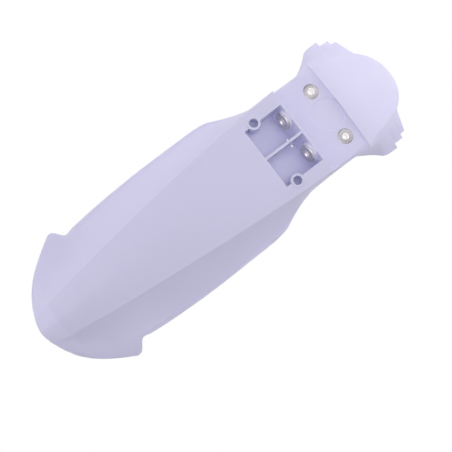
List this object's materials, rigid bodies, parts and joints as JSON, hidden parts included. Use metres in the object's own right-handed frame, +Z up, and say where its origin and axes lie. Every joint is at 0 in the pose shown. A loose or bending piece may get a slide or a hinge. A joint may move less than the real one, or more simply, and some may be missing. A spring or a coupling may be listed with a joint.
{
  "type": "motorcycle front mudguard",
  "caption": "One-piece moulded front mudguard of an off-road motorcycle, with a long ridged blade, a bolt pocket, a flat clamp seat and stepped side skirts at the rear.",
  "frame": {"origin": "on the top face of the clamp seat, midway between the two rear bolts", "axes": "+X to the rider's right, +Y forwards along the seat to the tip, +Z up out of the clamp seat"},
  "size_m": [0.2212, 0.6852, 0.1774],
  "materials": {
    "moulding": "fine satin moulded surface",
    "metal": "turned, dull"
  },
  "bodies": {
    "root": {"mudguard": "moulding", "rear_left_collar": "metal", "rear_right_collar": "metal", "front_left_sleeve": "metal", "front_right_sleeve": "metal"}
  },
  "joints": []
}
